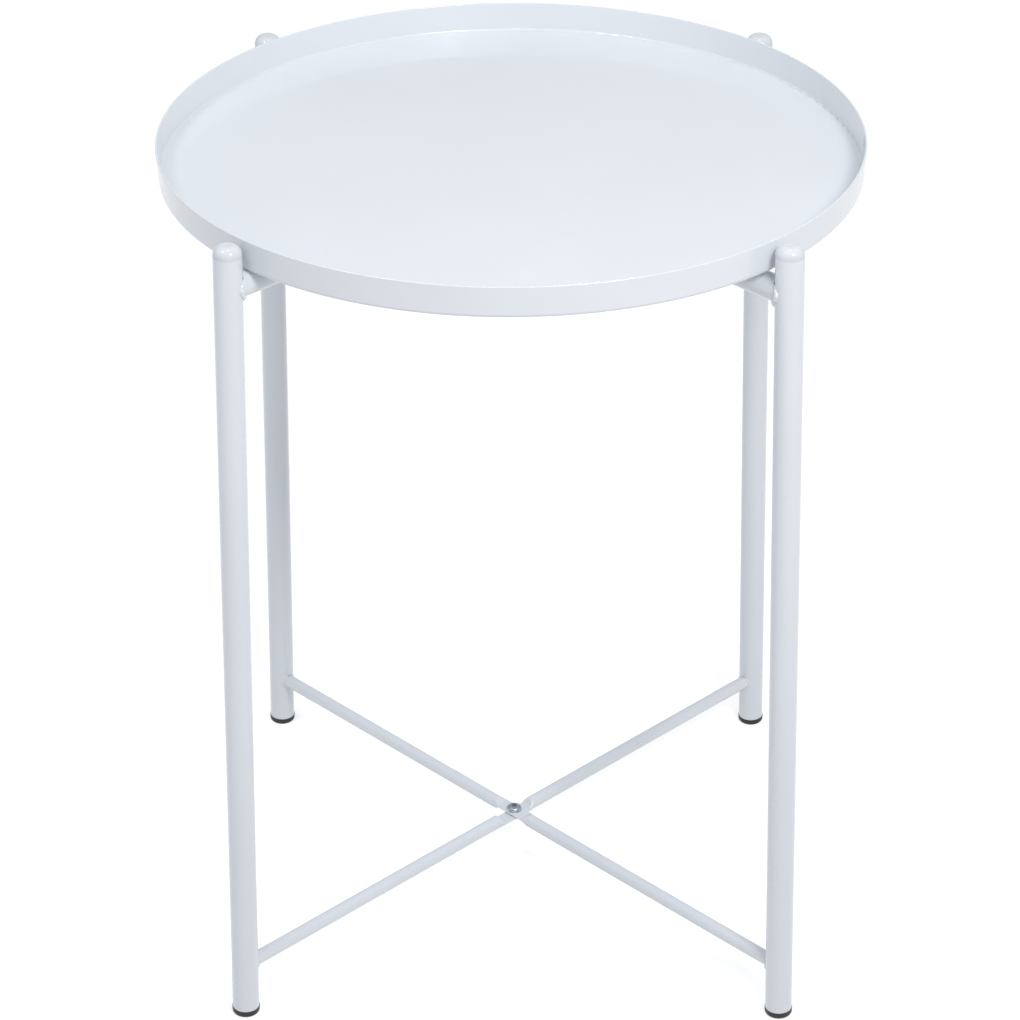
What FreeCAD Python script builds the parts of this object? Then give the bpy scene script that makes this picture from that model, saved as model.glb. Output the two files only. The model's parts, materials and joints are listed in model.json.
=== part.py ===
import FreeCAD, Part
import math
import os
import Sketcher

# Folding side table: a round steel tray standing on two crossed tube frames.
# Units are millimetres, +Z is up, the origin is on the floor under the crossing of the frames.
# The outer frame runs from the front-left leg to the back-right leg,
# the inner frame from the back-left leg to the front-right leg.

Vector = FreeCAD.Vector
Rotation = FreeCAD.Rotation
Placement = FreeCAD.Placement

X_AXIS = Vector(1, 0, 0)
Y_AXIS = Vector(0, 1, 0)
Z_AXIS = Vector(0, 0, 1)

# Headings of the two legs of each frame, in degrees about +Z from +X.
OUTER_LEGS = {"front_left": 225.0, "back_right": 45.0}
INNER_LEGS = {"front_right": 315.0, "back_left": 135.0}
OUTER_HEADING = 45.0
INNER_HEADING = 315.0

# Width of the straight part of a round section, so that every section has the same four edges.
ROUND_FLAT = 0.04

# How closely an edge must match a named radius and height to be picked for rounding.
EDGE_TOLERANCE = 0.01

# Press depth at each station from the round tube to the flat pad.
PRESS_STEPS = (0.0, 0.15, 0.5, 0.85, 1.0)

DIMENSIONS = [
    ("table_height", "515"),
    ("leg_diameter", "16.4"),
    ("leg_wall", "1.0"),
    ("leg_reach_top", "216.6"),
    ("leg_reach_floor", "232.0"),
    ("leg_radius", "=leg_diameter / 2"),
    ("leg_bore", "=leg_diameter - 2 * leg_wall"),
    ("plug_radius", "=leg_bore / 2"),
    ("plug_depth", "12"),
    ("leg_tilt", "=atan((leg_reach_floor - leg_reach_top) / table_height) / 1deg"),
    ("leg_run", "=table_height / cos(leg_tilt * 1deg)"),
    ("foot_flange", "4.2"),
    ("foot_radius", "8.45"),
    ("foot_trim", "0.5"),
    ("foot_under", "=-foot_trim"),
    ("foot_plug_end", "=foot_flange + plug_depth"),
    ("foot_edge", "2.4"),
    ("cap_height", "6.8"),
    ("cap_edge", "5.6"),
    ("cap_seat", "=leg_run - cap_height"),
    ("cap_plug_end", "=cap_seat - plug_depth"),
    ("tube_run", "=cap_seat - foot_flange"),
    ("tray_underside", "496.6"),
    ("tray_sheet", "1.2"),
    ("tray_height", "19.0"),
    ("tray_radius_base", "206.1"),
    ("tray_radius_rim", "207.0"),
    ("tray_corner", "2.5"),
    ("tray_corner_inner", "=tray_corner - tray_sheet"),
    ("tray_edge", "0.5"),
    ("tray_floor", "=tray_underside + tray_sheet"),
    ("tray_rim", "=tray_underside + tray_height"),
    ("tray_inner_base", "=tray_radius_base - tray_sheet"),
    ("tray_inner_rim", "=tray_radius_rim - tray_sheet"),
    ("tray_gap", "0.3"),
    ("running_gap", "0.1"),
    ("cope_gap", "0.3"),
    ("press_spread", "0.75"),
    ("spacer_upper", "0.3"),
    ("spacer_lower", "0.4"),
    ("bar_diameter", "15"),
    ("bar_bore", "13"),
    ("bar_flat", "2.4"),
    ("bar_flat_half", "28"),
    ("bar_press", "15"),
    ("bar_outer_height", "=tray_underside - tray_gap - bar_diameter / 2"),
    ("bar_inner_height", "=bar_outer_height - bar_flat - spacer_upper - running_gap"),
    ("bar_outer_rise", "0"),
    ("bar_inner_rise", "0"),
    ("rod_diameter", "8.6"),
    ("rod_bore", "6.6"),
    ("rod_flat", "2.0"),
    ("rod_flat_half", "10.5"),
    ("rod_press", "5"),
    ("rod_outer_height", "33.3"),
    ("rod_inner_height", "=rod_outer_height + rod_flat + spacer_lower + running_gap"),
    ("rod_outer_rise", "1"),
    ("rod_inner_rise", "-1"),
    ("sleeve_diameter", "6"),
    ("sleeve_bore", "4"),
    ("sleeve_flange", "8"),
    ("sleeve_flange_height", "1.1"),
    ("pivot_clearance", "0.08"),
    ("pivot_hole", "=sleeve_diameter + 2 * pivot_clearance"),
    ("screw_radius", "=sleeve_bore / 2"),
    ("screw_length", "4.4"),
    ("screw_end", "=-screw_length"),
    ("head_radius", "4.75"),
    ("head_height", "2.75"),
    ("head_edge", "2.2"),
    ("socket_corners", "3.46"),
    ("socket_depth", "1.7"),
    ("spacer_diameter", "9.6"),
    ("upper_bead", "1.6"),
    ("lower_bead", "1.3"),
    ("upper_weld_top", "1.5"),
    ("lower_weld_top", "-0.5"),
    ("trim_size", "40"),
]

doc = FreeCAD.newDocument("FoldingSideTable")
sheet = doc.addObject("Spreadsheet::Sheet", "Dimensions")


def fill_sheet():
    for row, (alias, content) in enumerate(DIMENSIONS, start=1):
        sheet.set("A%d" % row, alias)
        sheet.set("B%d" % row, content)
        sheet.setAlias("B%d" % row, alias)
    doc.recompute()


def size(alias):
    """Current value of one named dimension."""
    return float(getattr(sheet, alias))


def bind(target, prop, alias):
    target.setExpression(prop, "Dimensions." + alias)


# ---------------------------------------------------------------- sketches


def new_body(name):
    body = doc.addObject("PartDesign::Body", name)
    body.Label = name
    return body


def new_sketch(body, name, role, offset=None):
    """Sketch on one of the body's own origin planes, moved along its normal by a named offset."""
    plane = [item for item in body.Origin.OriginFeatures if item.Role == role][0]
    sketch = body.newObject("Sketcher::SketchObject", body.Name + "_" + name)
    sketch.AttachmentSupport = [(plane, "")]
    sketch.MapMode = "FlatFace"
    if offset:
        sketch.setExpression("AttachmentOffset.Base.z", offset)
    return sketch


def add_circle(sketch, alias, construction=False):
    """Circle about the sketch origin, with its diameter bound to a named dimension."""
    index = sketch.addGeometry(Part.Circle(Vector(), Z_AXIS, size(alias) / 2), construction)
    sketch.addConstraint(Sketcher.Constraint("Coincident", index, 3, -1, 1))
    row = sketch.addConstraint(Sketcher.Constraint("Diameter", index, size(alias)))
    bind(sketch, "Constraints[%d]" % row, alias)
    return index


def add_hexagon(sketch, alias):
    """Regular hexagon about the sketch origin, sized across its corners."""
    circle = add_circle(sketch, alias, True)
    radius = size(alias) / 2
    corners = []
    for step in range(6):
        angle = math.radians(60 * step)
        corners.append(Vector(radius * math.cos(angle), radius * math.sin(angle), 0))
    sides = []
    for step in range(6):
        side = Part.LineSegment(corners[step], corners[(step + 1) % 6])
        sides.append(sketch.addGeometry(side, False))
    for step in range(6):
        following = sides[(step + 1) % 6]
        sketch.addConstraint(Sketcher.Constraint("Coincident", sides[step], 2, following, 1))
        sketch.addConstraint(Sketcher.Constraint("PointOnObject", sides[step], 1, circle))
    for step in range(5):
        sketch.addConstraint(Sketcher.Constraint("Equal", sides[step], sides[step + 1]))
    sketch.addConstraint(Sketcher.Constraint("PointOnObject", sides[0], 1, -1))


def add_profile(sketch, points):
    """Closed outline; each point names its two dimensions, and an empty name means zero."""
    values = []
    for across, along in points:
        values.append(Vector(size(across) if across else 0, size(along) if along else 0, 0))
    count = len(points)
    for step in range(count):
        sketch.addGeometry(Part.LineSegment(values[step], values[(step + 1) % count]), False)
    for step in range(count):
        sketch.addConstraint(Sketcher.Constraint("Coincident", step, 2, (step + 1) % count, 1))
    for step, (across, along) in enumerate(points):
        if across:
            place = Sketcher.Constraint("DistanceX", -1, 1, step, 1, values[step].x)
            row = sketch.addConstraint(place)
            bind(sketch, "Constraints[%d]" % row, across)
        else:
            sketch.addConstraint(Sketcher.Constraint("PointOnObject", step, 1, -2))
        if along:
            place = Sketcher.Constraint("DistanceY", -1, 1, step, 1, values[step].y)
            row = sketch.addConstraint(place)
            bind(sketch, "Constraints[%d]" % row, along)
        else:
            sketch.addConstraint(Sketcher.Constraint("PointOnObject", step, 1, -1))


def add_slot(sketch, kind, press):
    """Section of a pressed tube: press 0 is round and press 1 is fully flat.

    The die holds the sides, so the tube grows wider by only part of what its outline would allow.
    """
    full = size(kind + "_diameter")
    thick = full - (full - size(kind + "_flat")) * press
    spread = math.pi * (full - thick) / 2 * size("press_spread") + ROUND_FLAT
    radius = thick / 2
    half = spread / 2
    quarter = math.pi / 2
    right = Part.ArcOfCircle(Part.Circle(Vector(half, 0, 0), Z_AXIS, radius), -quarter, quarter)
    left = Part.ArcOfCircle(Part.Circle(Vector(-half, 0, 0), Z_AXIS, radius), quarter, 3 * quarter)
    top = Part.LineSegment(Vector(half, radius, 0), Vector(-half, radius, 0))
    bottom = Part.LineSegment(Vector(-half, -radius, 0), Vector(half, -radius, 0))
    sketch.addGeometry([right, top, left, bottom], False)
    sketch.addConstraint(Sketcher.Constraint("Tangent", 0, 2, 1, 1))
    sketch.addConstraint(Sketcher.Constraint("Tangent", 1, 2, 2, 1))
    sketch.addConstraint(Sketcher.Constraint("Tangent", 2, 2, 3, 1))
    sketch.addConstraint(Sketcher.Constraint("Tangent", 3, 2, 0, 1))
    sketch.addConstraint(Sketcher.Constraint("Symmetric", 0, 3, 2, 3, -1, 1))
    sketch.addConstraint(Sketcher.Constraint("PointOnObject", 0, 3, -1))
    row = sketch.addConstraint(Sketcher.Constraint("Radius", 0, radius))
    thickness = "(Dimensions.%s_diameter - (Dimensions.%s_diameter - Dimensions.%s_flat) * %.6f)" % (
        kind, kind, kind, press)
    sketch.setExpression("Constraints[%d]" % row, thickness + " / 2")
    row = sketch.addConstraint(Sketcher.Constraint("DistanceX", 2, 3, 0, 3, spread))
    growth = "pi * (Dimensions.%s_diameter - %s) / 2 * Dimensions.press_spread + %.3f" % (
        kind, thickness, ROUND_FLAT)
    sketch.setExpression("Constraints[%d]" % row, growth)


# ---------------------------------------------------------------- features


def pad(body, name, sketch, length, midplane=False, reversed_pad=False):
    feature = body.newObject("PartDesign::Pad", body.Name + "_" + name)
    feature.Profile = sketch
    feature.setExpression("Length", length)
    feature.Midplane = midplane
    feature.Reversed = reversed_pad
    return feature


def revolve(body, name, sketch):
    feature = body.newObject("PartDesign::Revolution", body.Name + "_" + name)
    feature.Profile = sketch
    feature.ReferenceAxis = (sketch, ["V_Axis"])
    feature.Angle = 360
    return feature


def ring_edges(feature, radius, height):
    """Names of the circular edges with this radius at this height along the body's own axis."""
    found = []
    for number, edge in enumerate(feature.Shape.Edges, start=1):
        curve = edge.Curve
        if isinstance(curve, Part.Circle):
            same_radius = abs(curve.Radius - radius) < EDGE_TOLERANCE
            same_height = abs(curve.Center.z - height) < EDGE_TOLERANCE
            if same_radius and same_height:
                found.append("Edge%d" % number)
    return found


def round_edge(body, name, feature, radius, height, alias):
    doc.recompute()
    fillet = body.newObject("PartDesign::Fillet", body.Name + "_" + name)
    fillet.Base = (feature, ring_edges(feature, radius, height))
    bind(fillet, "Radius", alias)
    return fillet


def ring(name, outer, inner, length):
    """Plain ring whose upper face is at its own origin."""
    body = new_body(name)
    sketch = new_sketch(body, "section", "XY_Plane")
    add_circle(sketch, outer)
    add_circle(sketch, inner)
    pad(body, "ring", sketch, "Dimensions." + length, reversed_pad=True)
    return body


def turned(heading):
    """Placement of something built along +X and turned to a heading about +Z."""
    return Placement(Vector(), Rotation(Z_AXIS, heading))


def leg_frame():
    """Placement of a leg's own axis, for a leg that stands at heading zero."""
    lean = Rotation(Y_AXIS, -size("leg_tilt"))
    return Placement(Vector(size("leg_reach_floor"), 0, 0), lean)


def cut(name, base, tool):
    result = doc.addObject("Part::Cut", name)
    result.Base = base
    result.Tool = tool
    return result


# ---------------------------------------------------------------- legs


def make_leg(side, heading):
    body = new_body("leg_" + side)
    sketch = new_sketch(body, "section", "XY_Plane", "Dimensions.foot_flange")
    add_circle(sketch, "leg_diameter")
    add_circle(sketch, "leg_bore")
    pad(body, "tube", sketch, "Dimensions.tube_run")
    body.Placement = turned(heading).multiply(leg_frame())
    return body


def make_cap(side, heading):
    body = new_body("leg_cap_" + side)
    sketch = new_sketch(body, "profile", "XZ_Plane")
    add_profile(sketch, [
        ("", "cap_plug_end"),
        ("plug_radius", "cap_plug_end"),
        ("plug_radius", "cap_seat"),
        ("leg_radius", "cap_seat"),
        ("leg_radius", "leg_run"),
        ("", "leg_run"),
    ])
    turning = revolve(body, "turning", sketch)
    round_edge(body, "dome", turning, size("leg_radius"), size("leg_run"), "cap_edge")
    body.Placement = turned(heading).multiply(leg_frame())
    return body


def make_foot(side, heading):
    """Plastic plug that follows the leaning leg and is cut level with the floor."""
    body = new_body("foot_plug_" + side)
    sketch = new_sketch(body, "profile", "XZ_Plane")
    add_profile(sketch, [
        ("", "foot_under"),
        ("foot_radius", "foot_under"),
        ("foot_radius", "foot_flange"),
        ("plug_radius", "foot_flange"),
        ("plug_radius", "foot_plug_end"),
        ("", "foot_plug_end"),
    ])
    turning = revolve(body, "turning", sketch)
    round_edge(body, "edge", turning, size("foot_radius"), size("foot_under"), "foot_edge")
    body.Placement = leg_frame()
    floor = doc.addObject("Part::Box", "floor_" + side)
    for edge in ("Length", "Width", "Height"):
        bind(floor, edge, "trim_size")
    half = size("trim_size") / 2
    floor.Placement.Base = Vector(size("leg_reach_floor") - half, -half, -2 * half)
    foot = cut("foot_" + side, body, floor)
    foot.Label = "foot_" + side
    foot.Placement = turned(heading)
    return foot


# ---------------------------------------------------------------- cross tubes


def axis_reach(height):
    """Distance from the centre to a leg's axis at a height above the floor."""
    lean = (size("leg_reach_floor") - size("leg_reach_top")) / size("table_height")
    return size("leg_reach_floor") - lean * height


def leg_cutter(name, clearance, heading=0.0):
    """Solid cylinder on a leg's axis, a named clearance larger than the leg tube."""
    cutter = doc.addObject("Part::Cylinder", name)
    cutter.setExpression("Radius", "Dimensions.leg_radius + " + clearance)
    bind(cutter, "Height", "leg_run")
    cutter.Placement = turned(heading).multiply(leg_frame())
    return cutter


def make_cross_tube(name, kind, prefix, heading):
    """Round tube pressed flat at its middle for the pivot, with both ends coped to the legs."""
    pad_height = size("%s_%s_height" % (kind, prefix))
    body = new_body(name + "_tube")
    flat_half = "Dimensions.%s_flat_half" % kind
    press = "Dimensions.%s_press" % kind
    middle = new_sketch(body, "pad_section", "YZ_Plane")
    add_slot(middle, kind, 1.0)
    pad(body, "pad", middle, flat_half + " * 2", midplane=True)

    sections = []
    steps = len(PRESS_STEPS) - 1
    for step, depth in enumerate(PRESS_STEPS):
        offset = "%s + %s * %.4f" % (flat_half, press, (steps - step) / steps)
        section = new_sketch(body, "press_%d" % step, "YZ_Plane", offset)
        section.setExpression("AttachmentOffset.Base.y", "Dimensions.%s_%s_rise * %.4f" % (
            kind, prefix, 1 - depth))
        add_slot(section, kind, depth)
        sections.append(section)
    shoulder = body.newObject("PartDesign::AdditiveLoft", body.Name + "_shoulder")
    shoulder.Profile = sections[0]
    shoulder.Sections = sections[1:]

    start = "%s + %s" % (flat_half, press)
    outline = new_sketch(body, "tube_section", "YZ_Plane", start)
    outline.setExpression("AttachmentOffset.Base.y", "Dimensions.%s_%s_rise" % (kind, prefix))
    add_slot(outline, kind, 0.0)
    add_circle(outline, kind + "_bore")
    tube = pad(body, "tube", outline, "%.4f - (%s)" % (axis_reach(pad_height), start))

    mirrored = body.newObject("PartDesign::Mirrored", body.Name + "_mirrored")
    mirrored.Originals = [shoulder, tube]
    plane = [item for item in body.Origin.OriginFeatures if item.Role == "YZ_Plane"][0]
    mirrored.MirrorPlane = (plane, [""])
    body.Tip = mirrored

    hole_sketch = new_sketch(body, "hole_outline", "XY_Plane")
    add_circle(hole_sketch, "pivot_hole")
    hole = body.newObject("PartDesign::Pocket", body.Name + "_hole")
    hole.Profile = hole_sketch
    hole.Type = "ThroughAll"
    hole.Midplane = True
    body.Placement = Placement(Vector(0, 0, pad_height), Rotation())

    near = cut(name + "_coped", body, leg_cutter(name + "_cope_a", "Dimensions.cope_gap"))
    node = cut(name, near, leg_cutter(name + "_cope_b", "Dimensions.cope_gap", 180.0))
    node.Label = name
    node.Placement = turned(heading)
    return node


# ---------------------------------------------------------------- welds


def make_bead(name, kind, prefix, level):
    """Weld bead round the lower side of one coped joint, for a leg at heading zero."""
    height = size("%s_%s_height" % (kind, prefix)) + size("%s_%s_rise" % (kind, prefix))
    length = axis_reach(height)
    bead = "Dimensions.%s_bead" % level
    axis_along_tube = Placement(Vector(0, 0, height), Rotation(Y_AXIS, 90))

    around_tube = doc.addObject("Part::Cylinder", name + "_around_tube")
    around_tube.setExpression("Radius", "Dimensions.%s_diameter / 2 + %s" % (kind, bead))
    around_tube.Height = length
    around_tube.Placement = axis_along_tube
    inside_tube = doc.addObject("Part::Cylinder", name + "_inside_tube")
    inside_tube.setExpression("Radius", "Dimensions.%s_diameter / 2 + %.3f" % (kind, ROUND_FLAT / 2))
    inside_tube.Height = length
    inside_tube.Placement = axis_along_tube
    above = doc.addObject("Part::Box", name + "_above")
    for side in ("Length", "Width", "Height"):
        bind(above, side, "trim_size")
    half = size("trim_size") / 2
    above.Placement.Base = Vector(length - half, -half, height + size(level + "_weld_top"))

    band = doc.addObject("Part::Common", name + "_band")
    band.Base = around_tube
    band.Tool = leg_cutter(name + "_around_leg", bead)
    lower = cut(name + "_lower", band, above)
    beside_leg = cut(name + "_beside_leg", lower, leg_cutter(name + "_inside_leg", "0"))
    return cut(name, beside_leg, inside_tube)


def make_weld_pair(name, kind, prefix, level, heading):
    """The two beads of one cross tube, one at each leg, kept as one group."""
    first = make_bead(name + "_a", kind, prefix, level)
    second = make_bead(name + "_b", kind, prefix, level)
    second.Placement = turned(180.0)
    pair = doc.addObject("Part::Compound", name)
    pair.Label = name
    pair.Links = [first, second]
    pair.Placement = turned(heading)
    return pair


# ---------------------------------------------------------------- tray


def make_tray():
    """Pressed steel tray: flat floor, small corner radius and a low upright wall."""
    body = new_body("tray")
    sketch = new_sketch(body, "profile", "XZ_Plane")
    add_profile(sketch, [
        ("", "tray_underside"),
        ("tray_radius_base", "tray_underside"),
        ("tray_radius_rim", "tray_rim"),
        ("tray_inner_rim", "tray_rim"),
        ("tray_inner_base", "tray_floor"),
        ("", "tray_floor"),
    ])
    turning = revolve(body, "turning", sketch)
    corner = round_edge(
        body, "corner", turning, size("tray_radius_base"), size("tray_underside"), "tray_corner")
    inner = round_edge(
        body, "inner_corner", corner, size("tray_inner_base"), size("tray_floor"), "tray_corner_inner")
    outer_edge = round_edge(
        body, "outer_edge", inner, size("tray_radius_rim"), size("tray_rim"), "tray_edge")
    round_edge(body, "inner_edge", outer_edge, size("tray_inner_rim"), size("tray_rim"), "tray_edge")
    return body


# ---------------------------------------------------------------- pivot hardware


def make_screw(name, seat):
    """Button head screw with a hexagon socket; its own origin is under the head."""
    body = new_body(name)
    sketch = new_sketch(body, "profile", "XZ_Plane")
    add_profile(sketch, [
        ("", "screw_end"),
        ("screw_radius", "screw_end"),
        ("screw_radius", ""),
        ("head_radius", ""),
        ("head_radius", "head_height"),
        ("", "head_height"),
    ])
    turning = revolve(body, "turning", sketch)
    round_edge(body, "head_round", turning, size("head_radius"), size("head_height"), "head_edge")
    socket = new_sketch(body, "socket_outline", "XY_Plane", "Dimensions.head_height")
    add_hexagon(socket, "socket_corners")
    pocket = body.newObject("PartDesign::Pocket", body.Name + "_socket")
    pocket.Profile = socket
    bind(pocket, "Length", "socket_depth")
    body.Placement = Placement(Vector(0, 0, seat), Rotation())
    return body


def make_sleeve(name, seat, barrel):
    """Sleeve nut: thin flange below, and a barrel above it that the frames turn on."""
    body = new_body(name)
    flange = new_sketch(body, "flange_outline", "XY_Plane")
    add_circle(flange, "sleeve_flange")
    add_circle(flange, "sleeve_bore")
    pad(body, "flange", flange, "Dimensions.sleeve_flange_height", reversed_pad=True)
    outline = new_sketch(body, "barrel_outline", "XY_Plane")
    add_circle(outline, "sleeve_diameter")
    add_circle(outline, "sleeve_bore")
    pad(body, "barrel", outline, "%.4f mm" % barrel)
    body.Placement = Placement(Vector(0, 0, seat), Rotation())
    return body


def make_pivot(level, screw_seat, spacer_top, sleeve_seat):
    screw = make_screw(level + "_pivot_screw", screw_seat)
    spacer = ring(level + "_pivot_spacer", "spacer_diameter", "pivot_hole", "spacer_" + level)
    spacer.Placement = Placement(Vector(0, 0, spacer_top), Rotation())
    sleeve = make_sleeve(level + "_pivot_sleeve", sleeve_seat, screw_seat - sleeve_seat)
    return [screw, spacer, sleeve]


# ---------------------------------------------------------------- assembly


def make_frame(prefix, legs, heading):
    nodes = []
    for side, leg_heading in legs.items():
        nodes.append(make_leg(side, leg_heading))
        nodes.append(make_cap(side, leg_heading))
        nodes.append(make_foot(side, leg_heading))
    nodes.append(make_cross_tube("upper_bar_" + prefix, "bar", prefix, heading))
    nodes.append(make_cross_tube("lower_rod_" + prefix, "rod", prefix, heading))
    nodes.append(make_weld_pair("upper_welds_" + prefix, "bar", prefix, "upper", heading))
    nodes.append(make_weld_pair("lower_welds_" + prefix, "rod", prefix, "lower", heading))
    return nodes


def make_upper_pivot():
    """The outer bar lies on top, clamped under the head; the inner bar turns on the sleeve."""
    half_flat = size("bar_flat") / 2
    screw_seat = size("bar_outer_height") + half_flat
    spacer_top = size("bar_outer_height") - half_flat
    sleeve_seat = size("bar_inner_height") - half_flat - size("running_gap")
    return make_pivot("upper", screw_seat, spacer_top, sleeve_seat)


def make_lower_pivot():
    """The inner rod lies on top and turns on the sleeve; the outer rod rests on the flange."""
    half_flat = size("rod_flat") / 2
    screw_seat = size("rod_inner_height") + half_flat + size("running_gap")
    spacer_top = size("rod_outer_height") + half_flat + size("spacer_lower")
    sleeve_seat = size("rod_outer_height") - half_flat
    return make_pivot("lower", screw_seat, spacer_top, sleeve_seat)


def check_document():
    for item in doc.Objects:
        for state in item.State:
            if state in ("Invalid", "Error"):
                raise RuntimeError("%s did not compute" % item.Name)


def export(nodes):
    os.makedirs("parts", exist_ok=True)
    for node in nodes:
        shape = node.Shape
        if shape.isNull() or not shape.isValid() or not shape.Solids:
            raise RuntimeError("%s has no valid solid" % node.Label)
        shape.exportStep(os.path.join("parts", node.Label + ".step"))
        print("%-26s solids %d  volume %10.2f" % (node.Label, len(shape.Solids), shape.Volume))


fill_sheet()
all_nodes = [make_tray()]
all_nodes += make_frame("outer", OUTER_LEGS, OUTER_HEADING)
all_nodes += make_frame("inner", INNER_LEGS, INNER_HEADING)
all_nodes += make_upper_pivot()
all_nodes += make_lower_pivot()
doc.recompute()
check_document()
export(all_nodes)
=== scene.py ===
import json
import math

import bpy
from mathutils import Matrix, Vector


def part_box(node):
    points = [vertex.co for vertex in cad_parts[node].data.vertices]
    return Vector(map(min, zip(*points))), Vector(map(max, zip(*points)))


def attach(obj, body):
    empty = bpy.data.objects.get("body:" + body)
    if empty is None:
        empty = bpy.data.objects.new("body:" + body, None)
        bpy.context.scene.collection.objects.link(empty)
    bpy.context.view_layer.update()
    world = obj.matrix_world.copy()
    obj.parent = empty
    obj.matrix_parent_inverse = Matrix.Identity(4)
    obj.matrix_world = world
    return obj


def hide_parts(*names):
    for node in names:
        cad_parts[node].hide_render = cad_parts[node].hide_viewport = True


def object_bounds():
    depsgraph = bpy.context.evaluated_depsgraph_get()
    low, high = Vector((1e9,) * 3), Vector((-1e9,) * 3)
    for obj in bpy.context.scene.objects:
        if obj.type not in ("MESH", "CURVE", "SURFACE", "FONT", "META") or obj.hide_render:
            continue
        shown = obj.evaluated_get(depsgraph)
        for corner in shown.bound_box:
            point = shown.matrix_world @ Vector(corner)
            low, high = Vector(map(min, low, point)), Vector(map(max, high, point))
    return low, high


# Folding side table: materials, weld beads, studio and camera, in metres.
# Places on the object are read from the frame.

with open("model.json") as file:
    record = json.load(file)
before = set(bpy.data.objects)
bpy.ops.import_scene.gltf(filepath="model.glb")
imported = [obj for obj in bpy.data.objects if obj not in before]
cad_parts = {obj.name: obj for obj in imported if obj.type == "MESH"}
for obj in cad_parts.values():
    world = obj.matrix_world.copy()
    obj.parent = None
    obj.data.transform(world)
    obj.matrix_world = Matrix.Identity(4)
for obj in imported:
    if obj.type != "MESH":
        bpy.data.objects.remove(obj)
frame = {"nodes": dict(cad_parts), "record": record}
cad_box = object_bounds()

# The two legs of each frame, and the heading of each leg in degrees about +Z from +X.
LEGS = {
    "outer": ("front_left", "back_right"),
    "inner": ("front_right", "back_left"),
}
HEADINGS = {"front_left": 225.0, "back_right": 45.0, "front_right": 315.0, "back_left": 135.0}
WHITE_PAINT = (0.780, 0.808, 0.845)
BARE_METAL = (0.16, 0.17, 0.20)

# One chip in the paint of the tray wall: degrees clockwise from the back, drop from the rim, radius.
NICK_AZIMUTH = 116.0
NICK_DROP = 0.010
NICK_RADIUS = 0.0011

# Level, cross tube, reach up each side in degrees, bead radius, ripples, swell at the front right.
WELDS = (
    ("upper", "upper_bar_", 138.0, 0.0017, 15.0, 0.9),
    ("lower", "lower_rod_", 172.0, 0.0012, 13.0, 1.6),
)
PLAIN_SWELL = 0.25
BEAD_STEPS = 90
BEAD_CORNERS = 14

# Name, azimuth clockwise from the back, elevation, width, watts, colour.
SOFTBOXES = (
    ("softbox_right", 152.0, 42.0, 0.40, 12.0, (1.0, 1.0, 0.985)),
    ("softbox_left", 240.0, 56.0, 0.35, 3.4, (0.97, 0.98, 1.0)),
    ("softbox_above", 0.0, 88.0, 0.50, 2.0, (1.0, 1.0, 1.0)),
)
SOFTBOX_DISTANCE = 1.6
FLOOR_SIZE = 60.0

CAMERA_PLACE = Vector((0.02046, -1.81393, 1.29701))
CAMERA_PITCH, CAMERA_YAW, CAMERA_ROLL = (math.radians(angle) for angle in (29.713, -0.701, -0.284))
CAMERA_LENS = 118.81


# ---------------------------------------------------------------- node helpers


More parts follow.
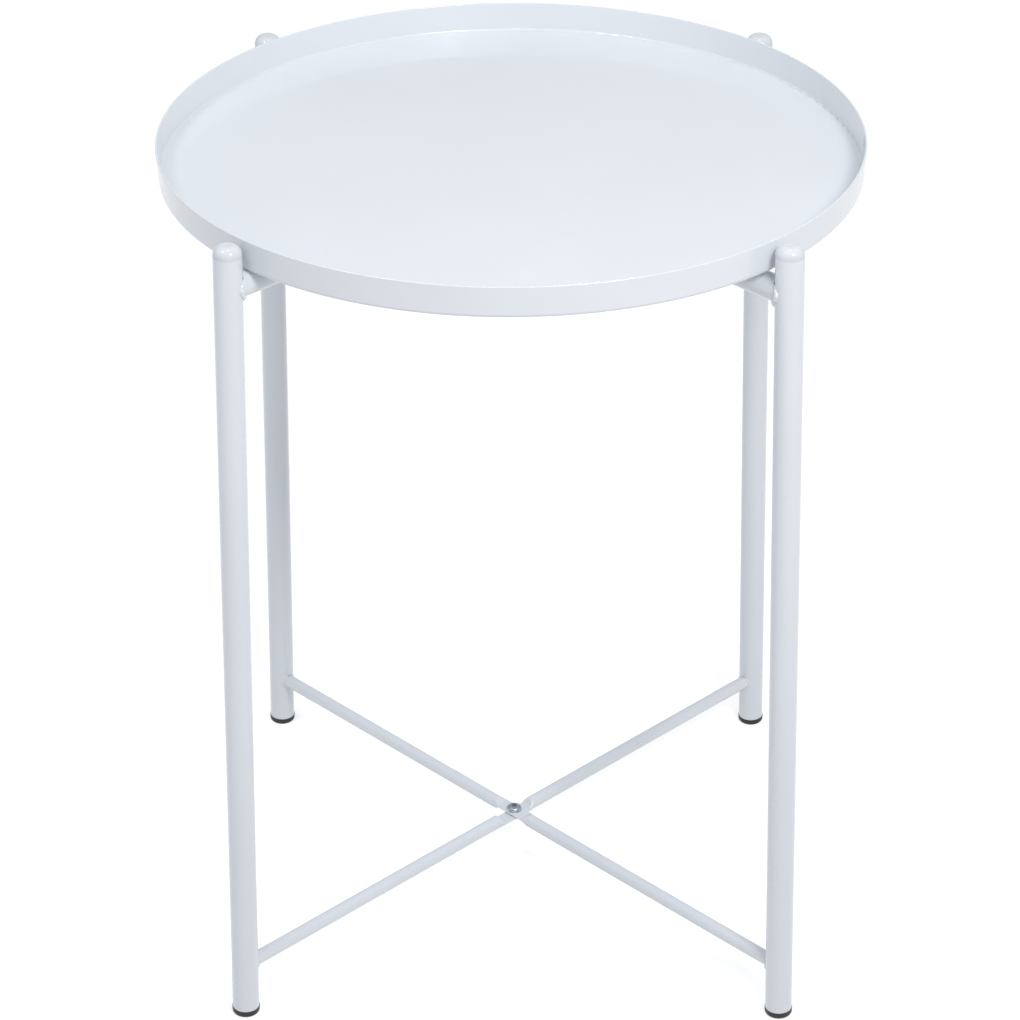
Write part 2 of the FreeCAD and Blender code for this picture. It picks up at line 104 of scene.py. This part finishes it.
class Nodes:
    """Short calls for building one material's node tree."""

    def __init__(self, name):
        self.material = bpy.data.materials.new(name)
        self.material.use_nodes = True
        self.tree = self.material.node_tree
        self.shader = self.tree.nodes["Principled BSDF"]
        self.position = self.add("TexCoord").outputs["Object"]

    def add(self, kind, **settings):
        node = self.tree.nodes.new("ShaderNode" + kind)
        for key, value in settings.items():
            setattr(node, key, value)
        return node

    def feed(self, socket, value):
        """Link a node output to a socket, or set the socket to a plain value."""
        if isinstance(value, bpy.types.NodeSocket):
            self.tree.links.new(value, socket)
        elif isinstance(value, tuple) and len(value) == 3 and socket.type == "RGBA":
            socket.default_value = (*value, 1.0)
        else:
            socket.default_value = value

    def noise(self, size, detail=2.0, roughness=0.5):
        """Noise whose features are about the given size in metres."""
        node = self.add("TexNoise")
        self.feed(node.inputs["Vector"], self.position)
        self.feed(node.inputs["Scale"], 1.0 / size)
        self.feed(node.inputs["Detail"], detail)
        self.feed(node.inputs["Roughness"], roughness)
        return node.outputs["Fac"]

    def ramp(self, source, low, high, out_low=0.0, out_high=1.0):
        """Smooth step of a value from one range to another."""
        node = self.add("MapRange", interpolation_type="SMOOTHSTEP")
        for name, value in (("Value", source), ("From Min", low), ("From Max", high),
                            ("To Min", out_low), ("To Max", out_high)):
            self.feed(node.inputs[name], value)
        return node.outputs["Result"]

    def math(self, operation, first, second=0.0):
        node = self.add("Math", operation=operation)
        self.feed(node.inputs[0], first)
        self.feed(node.inputs[1], second)
        return node.outputs[0]

    def mix(self, factor, first, second):
        """Blend of two colours."""
        node = self.add("Mix", data_type="RGBA")
        self.feed(node.inputs[0], factor)
        self.feed(node.inputs[6], first)
        self.feed(node.inputs[7], second)
        return node.outputs[2]

    def height(self):
        """Height above the floor."""
        node = self.add("SeparateXYZ")
        self.feed(node.inputs[0], self.position)
        return node.outputs["Z"]

    def near(self, point, radius, ragged):
        """One inside a small ragged spot around a point, and zero away from it."""
        offset = self.add("VectorMath", operation="DISTANCE")
        self.feed(offset.inputs[0], self.position)
        self.feed(offset.inputs[1], Vector(point))
        rough = self.math("MULTIPLY", self.noise(radius * 0.6, 3.0, 0.7), ragged * radius)
        distance = self.math("ADD", offset.outputs["Value"], rough)
        return self.ramp(distance, radius * 0.8, radius * 1.2, 1.0, 0.0)

    def bump(self, height, strength, distance):
        node = self.add("Bump")
        self.feed(node.inputs["Strength"], strength)
        self.feed(node.inputs["Distance"], distance)
        self.feed(node.inputs["Height"], height)
        self.feed(self.shader.inputs["Normal"], node.outputs["Normal"])

    def colour(self, value):
        self.feed(self.shader.inputs["Base Color"], value)

    def roughness(self, value):
        self.feed(self.shader.inputs["Roughness"], value)


# ---------------------------------------------------------------- materials


def shade(colour, factor):
    return tuple(value * factor for value in colour)


def powder_coat(name, colour, rough, coat, peel_size, nick=None):
    """White baked paint: orange peel, slight drift of tint, rare specks, and one chip if wanted."""
    n = Nodes(name)
    tint = n.mix(n.ramp(n.noise(0.09, 3.0), 0.35, 0.65), colour, shade(colour, 0.98))
    speck = n.ramp(n.noise(0.0028, 1.0), 0.80, 0.84, 0.0, 0.30)
    tint = n.mix(speck, tint, shade(colour, 0.80))
    peel = n.noise(peel_size, 1.0, 0.4)
    if nick:
        mark = n.near(nick, NICK_RADIUS, 0.9)
        tint = n.mix(n.math("MULTIPLY", mark, 0.8), tint, BARE_METAL)
        peel = n.math("SUBTRACT", peel, mark)
    n.colour(tint)
    cloud = n.noise(0.030, 2.0, 0.5)
    n.roughness(n.ramp(cloud, 0.25, 0.75, rough * 0.9, rough * 1.15))
    n.shader.inputs["Coat Weight"].default_value = coat
    n.shader.inputs["Coat Roughness"].default_value = 0.03
    n.bump(peel, 0.02, 0.0002)
    return n.material


def moulded_cap():
    """Glossy white moulding, a little greyer than the paint, with faint flow marks."""
    n = Nodes("cap_plastic")
    flow = n.noise(0.006, 3.0)
    n.colour(n.mix(n.ramp(flow, 0.3, 0.7), shade(WHITE_PAINT, 0.88), shade(WHITE_PAINT, 0.84)))
    n.roughness(n.ramp(n.noise(0.0015, 3.0), 0.3, 0.7, 0.07, 0.12))
    n.bump(n.noise(0.003, 2.0), 0.04, 0.0002)
    return n.material


def moulded_foot():
    """Black moulding with a fine grain, dusty and scuffed close to the floor."""
    n = Nodes("foot_plastic")
    grain = n.noise(0.0006, 3.0, 0.6)
    scuff = n.math("MULTIPLY", n.ramp(n.height(), 0.0, 0.0022, 1.0, 0.0), n.ramp(grain, 0.42, 0.62))
    base = n.mix(n.ramp(n.noise(0.012, 3.0), 0.3, 0.7), (0.006, 0.006, 0.007), (0.014, 0.014, 0.016))
    n.colour(n.mix(n.math("MULTIPLY", scuff, 0.6), base, (0.07, 0.068, 0.065)))
    n.roughness(n.ramp(grain, 0.3, 0.7, 0.34, 0.52))
    n.bump(grain, 0.25, 0.0001)
    return n.material


def zinc_plate():
    """Blue-passivated zinc: cloudy grey-blue metal with a fine grain."""
    n = Nodes("zinc")
    cloud = n.noise(0.0013, 4.0, 0.6)
    n.colour(n.mix(n.ramp(cloud, 0.3, 0.7), (0.33, 0.39, 0.45), (0.52, 0.57, 0.61)))
    n.shader.inputs["Metallic"].default_value = 1.0
    n.roughness(n.ramp(cloud, 0.2, 0.8, 0.26, 0.42))
    n.bump(n.noise(0.00025, 2.0), 0.2, 0.00005)
    return n.material


def spacer_nylon():
    n = Nodes("nylon")
    cloud = n.noise(0.004, 3.0)
    n.colour(n.mix(n.ramp(cloud, 0.3, 0.7), (0.72, 0.71, 0.66), (0.80, 0.79, 0.75)))
    n.roughness(n.ramp(cloud, 0.3, 0.7, 0.38, 0.5))
    n.shader.inputs["Subsurface Weight"].default_value = 0.15
    n.bump(n.noise(0.0006, 2.0), 0.1, 0.0001)
    return n.material


def on_wall(azimuth, height):
    """Point on the outside of the tray wall, with the azimuth clockwise from the back."""
    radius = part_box("tray")[1][0]
    angle = math.radians(azimuth)
    return (radius * math.sin(angle), radius * math.cos(angle), height)


def assign_materials():
    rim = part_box("tray")[1][2]
    nick = on_wall(NICK_AZIMUTH, rim - NICK_DROP)
    by_slot = {
        "tray_paint": powder_coat("tray_paint", shade(WHITE_PAINT, 0.985), 0.32, 0.8, 0.0070, nick),
        # The frame's paint is the tray's white paint made a little darker: painted shade that stands
        # in for the deeper shade on the legs.
        "frame_paint": powder_coat("frame_paint", shade(WHITE_PAINT, 0.96), 0.30, 0.60, 0.0035),
        "cap_plastic": moulded_cap(),
        "foot_plastic": moulded_foot(),
        "zinc": zinc_plate(),
        "nylon": spacer_nylon(),
    }
    for part in frame["record"]["subparts"]:
        for entry in frame["nodes"][part["node"]].material_slots:
            entry.material = by_slot[part["material_slot"]]
    return by_slot


# ---------------------------------------------------------------- weld beads


def leg_line(side):
    """Centre of a leg at its lower and upper end, from the boxes of its foot and its cap."""
    ends = []
    for node in ("foot_" + side, "leg_cap_" + side):
        low, high = (Vector(corner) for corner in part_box(node))
        ends.append((low + high) / 2)
    return ends


def leg_centre(side, height):
    """Distance from the pivot axis to a leg's axis at a height above the floor."""
    foot, cap = leg_line(side)
    share = (height - foot.z) / (cap.z - foot.z)
    return foot.lerp(cap, share).to_2d().length


def leg_radius(side):
    """Half of the leg cap's width along X, less the lean of its whole height."""
    low, high = (Vector(corner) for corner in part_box("leg_cap_" + side))
    lean = leg_centre(side, low.z) - leg_centre(side, high.z)
    return (high.x - low.x - lean * math.cos(math.radians(45))) / 2


def seam_point(side, centre_height, tube_radius, angle):
    """Point where a level tube meets a leg; angle zero is straight below the tube."""
    across = tube_radius * math.sin(angle)
    height = centre_height - tube_radius * math.cos(angle)
    depth = math.sqrt(leg_radius(side) ** 2 - across ** 2)
    return Vector((leg_centre(side, height) - depth, across, height))


def bead_mesh(name, points, centre, radius, ripple, swell):
    """Rounded rope of overlapping ripples along a seam, tapered at its ends and swollen halfway."""
    rings = len(points)
    around = BEAD_CORNERS
    vertices = []
    faces = []
    for step, point in enumerate(points):
        before = points[max(step - 1, 0)]
        after = points[min(step + 1, rings - 1)]
        along = (after - before).normalized()
        outward = point - centre
        outward = (outward - along * outward.dot(along)).normalized()
        side = along.cross(outward)
        share = step / (rings - 1)
        taper = min(1.0, 5.5 * share, 5.5 * (1.0 - share)) ** 0.5
        phase = (share * ripple) % 1.0
        wave = 0.80 + 0.26 * math.sin(math.pi * phase) ** 0.7
        blob = 1.0 + swell * math.exp(-((share - 0.5) * 9.0) ** 2)
        size = radius * taper * wave * blob
        for corner in range(around):
            turn = 2 * math.pi * corner / around
            vertices.append(point + size * (math.cos(turn) * outward + math.sin(turn) * side))
    for step in range(rings - 1):
        for corner in range(around):
            following = (corner + 1) % around
            faces.append((step * around + corner, step * around + following,
                          (step + 1) * around + following, (step + 1) * around + corner))
    faces.append(tuple(range(around - 1, -1, -1)))
    faces.append(tuple((rings - 1) * around + corner for corner in range(around)))
    mesh = bpy.data.meshes.new(name)
    mesh.from_pydata([tuple(vertex) for vertex in vertices], [], faces)
    for polygon in mesh.polygons:
        polygon.use_smooth = True
    return mesh


def make_weld(name, side, tube_node, spread, radius, ripple, swell):
    """One bead round a tube at a leg, reaching up both sides by the spread in degrees."""
    low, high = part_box(tube_node)
    centre_height = (high[2] + low[2]) / 2
    tube_radius = (high[2] - low[2]) / 2
    points = []
    for step in range(BEAD_STEPS):
        angle = math.radians(spread * (2 * step / (BEAD_STEPS - 1) - 1))
        points.append(seam_point(side, centre_height, tube_radius, angle))
    centre = Vector((leg_centre(side, centre_height) - leg_radius(side), 0.0, centre_height))
    mesh = bead_mesh(name, points, centre, radius, ripple, swell)
    piece = bpy.data.objects.new(name, mesh)
    bpy.context.collection.objects.link(piece)
    turn = Matrix.Rotation(math.radians(HEADINGS[side]), 4, "Z")
    mesh.transform(turn)
    return piece


def make_welds(paint):
    """Rippled beads round the underside and up the sides of each joint, replacing the plain solids."""
    for frame_name, sides in LEGS.items():
        for side in sides:
            for level, tube, spread, radius, ripple, front_right_swell in WELDS:
                name = "weld_%s_%s" % (level, side)
                swell = front_right_swell if side == "front_right" else PLAIN_SWELL
                piece = make_weld(name, side, tube + frame_name, spread, radius, ripple, swell)
                piece.data.materials.append(paint)
                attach(piece, frame_name + "_frame")
                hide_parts("%s_welds_%s" % (level, frame_name))


# ---------------------------------------------------------------- studio


def make_floor():
    bpy.ops.mesh.primitive_plane_add(size=FLOOR_SIZE, location=(0, 0, cad_box[0][2]))
    floor = bpy.context.object
    floor.name = "studio_floor"
    n = Nodes("studio_floor")
    n.colour(n.mix(n.ramp(n.noise(0.6, 2.0), 0.3, 0.7), (0.59, 0.59, 0.59), (0.61, 0.61, 0.61)))
    n.roughness(0.9)
    n.shader.inputs["Specular IOR Level"].default_value = 0.0
    n.shader.inputs["Emission Color"].default_value = (1.0, 1.0, 1.0, 1.0)
    n.shader.inputs["Emission Strength"].default_value = 0.62
    floor.data.materials.append(n.material)
    # The floor is pale to look at but throws no light back, so the legs grow darker towards it.
    floor.visible_diffuse = False


def softbox(name, azimuth, elevation, width, power, colour):
    """Square area light aimed at the table; azimuth is clockwise from the back."""
    data = bpy.data.lights.new(name, "AREA")
    data.shape = "SQUARE"
    data.size = width
    data.energy = power
    data.color = colour
    light = bpy.data.objects.new(name, data)
    bpy.context.collection.objects.link(light)
    turn, rise = math.radians(azimuth), math.radians(elevation)
    target = Vector((0, 0, 0.8 * cad_box[1][2]))
    along = Vector((math.sin(turn), math.cos(turn), 0.0)) * math.cos(rise)
    direction = along + Vector((0.0, 0.0, math.sin(rise)))
    light.location = target + direction * SOFTBOX_DISTANCE
    light.rotation_euler = (-direction).to_track_quat("-Z", "Y").to_euler()


def make_world():
    world = bpy.data.worlds.new("studio")
    world.use_nodes = True
    background = world.node_tree.nodes["Background"]
    background.inputs["Color"].default_value = (0.92, 0.955, 1.0, 1.0)
    background.inputs["Strength"].default_value = 0.62
    bpy.context.scene.world = world


def make_camera():
    """Long lens 30 degrees above the table and almost straight in front of it."""
    level = Vector((math.sin(CAMERA_YAW), math.cos(CAMERA_YAW), 0.0))
    forward = level * math.cos(CAMERA_PITCH) - Vector((0.0, 0.0, math.sin(CAMERA_PITCH)))
    right = Vector((math.cos(CAMERA_YAW), -math.sin(CAMERA_YAW), 0.0))
    up = right.cross(forward)
    side = math.cos(CAMERA_ROLL) * right + math.sin(CAMERA_ROLL) * up
    top = math.cos(CAMERA_ROLL) * up - math.sin(CAMERA_ROLL) * right
    data = bpy.data.cameras.new("camera")
    data.sensor_width = 36.0
    data.lens = CAMERA_LENS
    data.clip_end = 50.0
    camera = bpy.data.objects.new("camera", data)
    bpy.context.collection.objects.link(camera)
    camera.matrix_world = Matrix((
        (side.x, top.x, -forward.x, CAMERA_PLACE.x),
        (side.y, top.y, -forward.y, CAMERA_PLACE.y),
        (side.z, top.z, -forward.z, CAMERA_PLACE.z),
        (0.0, 0.0, 0.0, 1.0),
    ))
    bpy.context.scene.camera = camera


materials = assign_materials()
make_welds(materials["frame_paint"])
make_floor()
make_world()
for settings in SOFTBOXES:
    softbox(*settings)
make_camera()
bpy.context.scene.view_settings.view_transform = "Standard"
